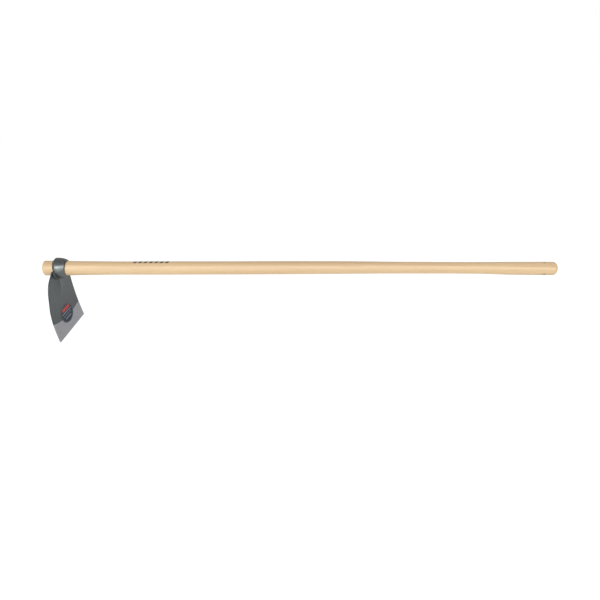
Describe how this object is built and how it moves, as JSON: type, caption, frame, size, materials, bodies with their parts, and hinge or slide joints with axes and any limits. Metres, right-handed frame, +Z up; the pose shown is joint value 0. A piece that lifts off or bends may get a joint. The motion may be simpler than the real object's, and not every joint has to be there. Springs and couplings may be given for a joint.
{
  "type": "eye hoe",
  "caption": "Long-handled eye hoe with a broad curved steel blade on a forged eye and a straight tapered wooden handle.",
  "frame": {"origin": "centre of the footprint on the ground, with the hoe standing on its cutting edge and the butt of its handle", "axes": "+X from the head towards the butt, along the ground under the handle; +Y across the blade, along its cutting edge; +Z up"},
  "size_m": [1.3632, 0.174, 0.2079],
  "materials": {
    "ash_wood": "clear-lacquered pale ash, satin, grain along the handle",
    "eye_lacquer": "thin dark grey lacquer on forged steel, semi-gloss",
    "blade_lacquer": "thin dark grey lacquer on rolled steel, satin, with a bare ground band along the cutting edge",
    "weld_lacquer": "weld bead under the same lacquer",
    "label_vinyl": "printed vinyl sticker, satin"
  },
  "bodies": {
    "handle": {"handle": "ash_wood"},
    "head": {"eye_ring": "eye_lacquer", "blade": "blade_lacquer", "eye_weld": "weld_lacquer", "blade_label": "label_vinyl"}
  },
  "joints": [
    {"name": "head_slide", "type": "slide", "parent": "handle", "child": "head", "axis": [0.9926, 0, -0.1215], "range_m": [0, 1.36]}
  ]
}
